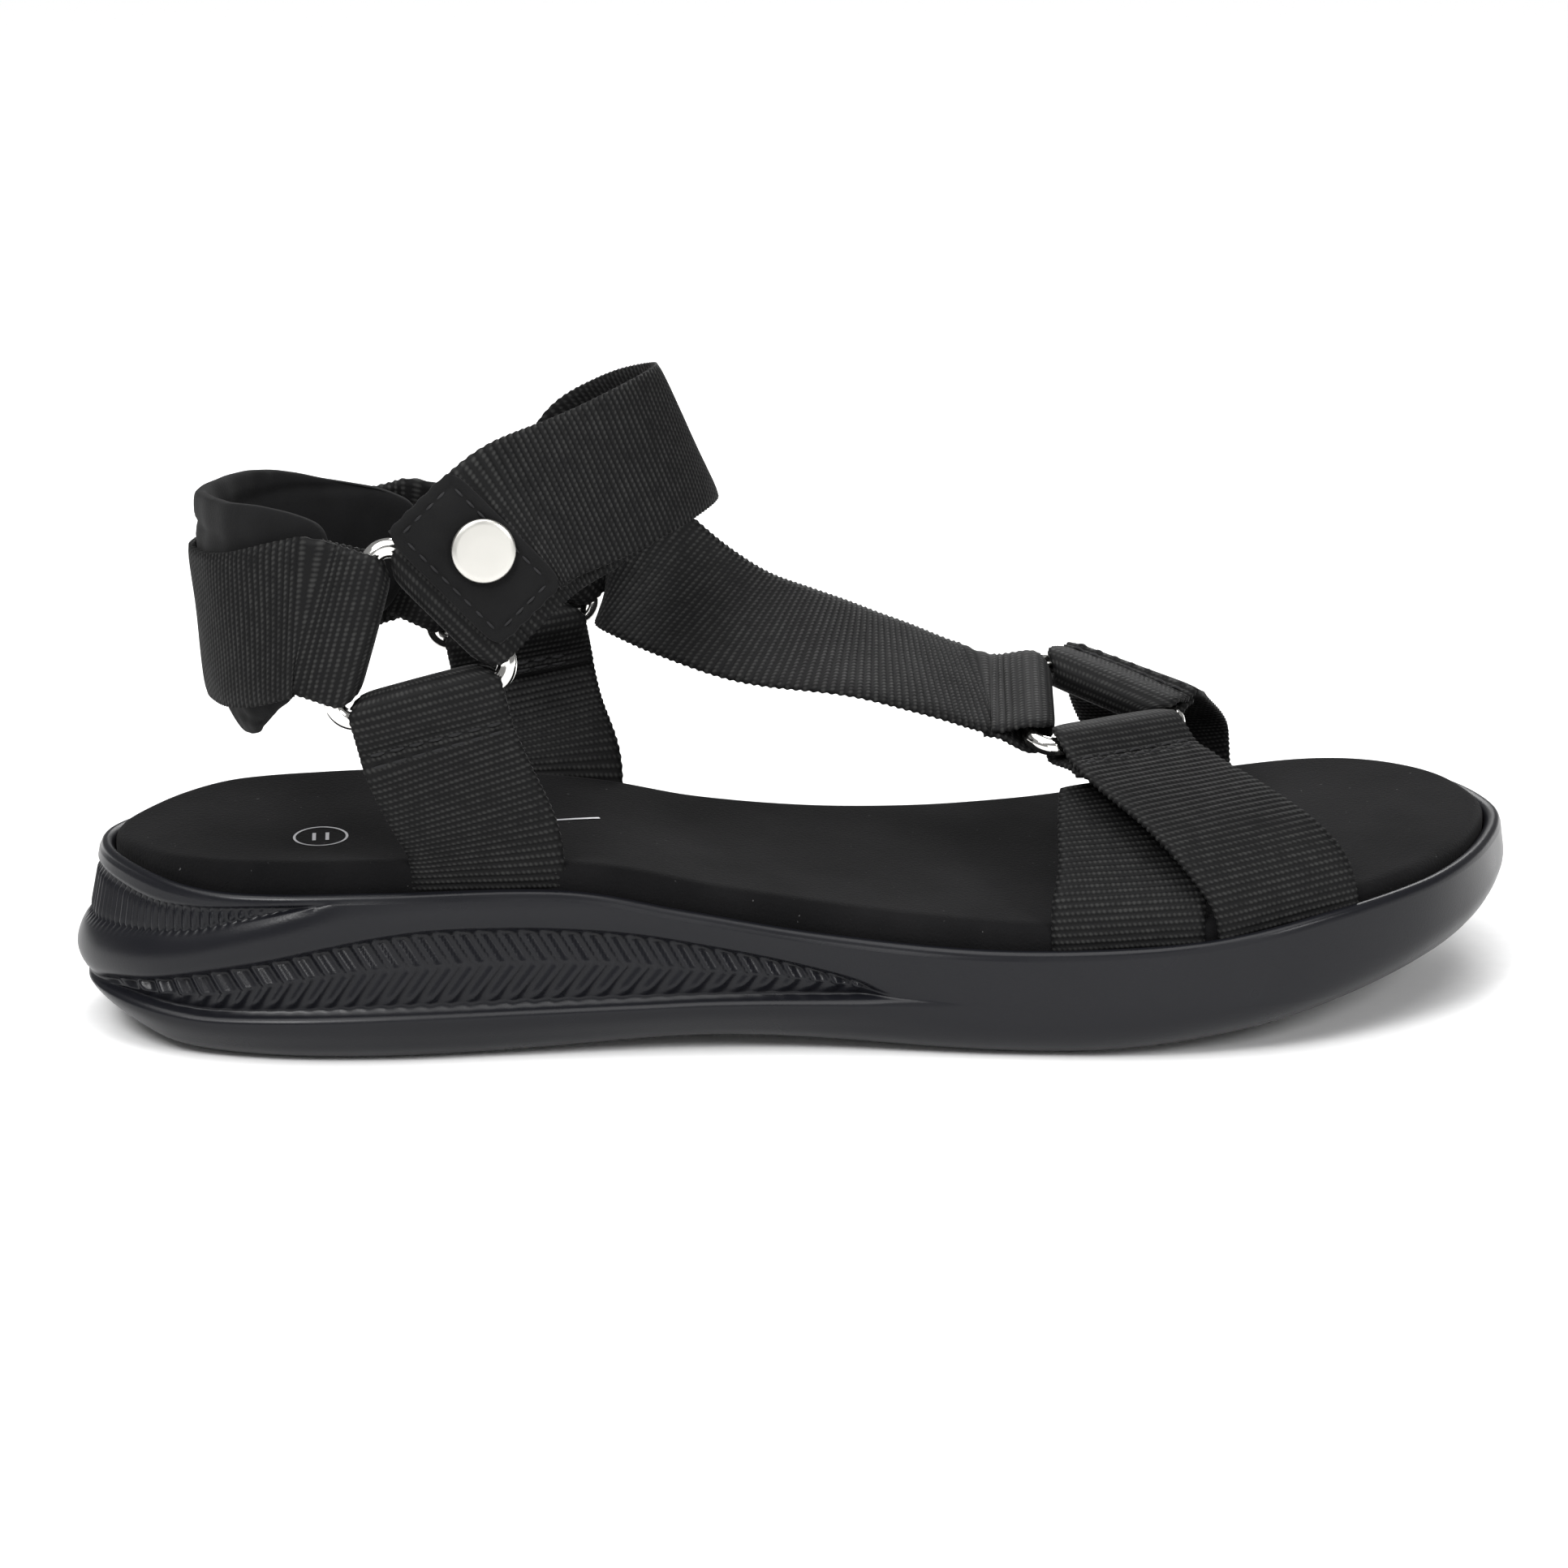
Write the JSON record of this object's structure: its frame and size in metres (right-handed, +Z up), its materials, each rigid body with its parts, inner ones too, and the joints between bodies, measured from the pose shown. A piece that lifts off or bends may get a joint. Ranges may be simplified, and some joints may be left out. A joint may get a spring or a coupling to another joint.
{
  "type": "sport sandal",
  "caption": "Open sport sandal: webbing straps on wire rings, padded heel strap, and an ankle strap closed by tape and a press stud, on a moulded sole.",
  "frame": {"origin": "middle of the sole's footprint box, on the ground", "axes": "+X towards the toe, +Y towards the inner (big toe) side of the foot, +Z up"},
  "size_m": [0.25, 0.0895, 0.1103],
  "materials": {
    "sole_rubber": "satin",
    "board": "matt fibre board",
    "foam": "matt foam",
    "footbed_cover": "napped",
    "webbing": "ribbed weave",
    "pad_cloth": "soft stretch cloth",
    "patch": "matt",
    "tape": "hook and loop",
    "metal": "polished"
  },
  "bodies": {
    "sandal": {"sole": "sole_rubber", "insole_board": "board", "footbed_foam": "foam", "footbed_cover": "footbed_cover", "quarter_strap_lateral": "webbing", "quarter_strap_medial": "webbing", "forefoot_strap_lateral_front": "webbing", "forefoot_strap_lateral_rear": "webbing", "forefoot_strap_medial": "webbing", "heel_strap": "webbing", "heel_pad": "pad_cloth", "long_strap": "webbing", "short_strap": "webbing", "loop_tape": "tape", "snap_stud": "metal", "snap_stud_back": "metal"},
    "closure": {"closure_flap": "webbing", "hook_tape": "tape", "closure_patch": "patch", "snap_cap": "metal", "snap_socket": "metal"},
    "lateral_ring": {"ring_lateral": "metal"},
    "medial_ring": {"ring_medial": "metal"},
    "forefoot_ring": {"ring_forefoot": "metal"}
  },
  "joints": [
    {"name": "closure_hinge", "type": "hinge", "parent": "sandal", "child": "closure", "pos_m": [-0.02251, -0.00681, 0.09859], "axis": [-0.3344, 0.1171, 0.9351], "range_deg": [0, 120]},
    {"name": "lateral_ring_turn", "type": "hinge", "parent": "sandal", "child": "lateral_ring", "pos_m": [-0.0682, -0.032, 0.0713], "axis": [0, -0.9925, 0.1219], "range_deg": [-4, 4]},
    {"name": "medial_ring_turn", "type": "hinge", "parent": "sandal", "child": "medial_ring", "pos_m": [-0.0508, 0.032, 0.0663], "axis": [0, 0.9925, 0.1219], "range_deg": [-4, 4]},
    {"name": "forefoot_ring_turn", "type": "hinge", "parent": "sandal", "child": "forefoot_ring", "pos_m": [0.0468, -0.0015, 0.049], "axis": [0.118, -0.276, 0.9539], "range_deg": [-4, 4]}
  ]
}
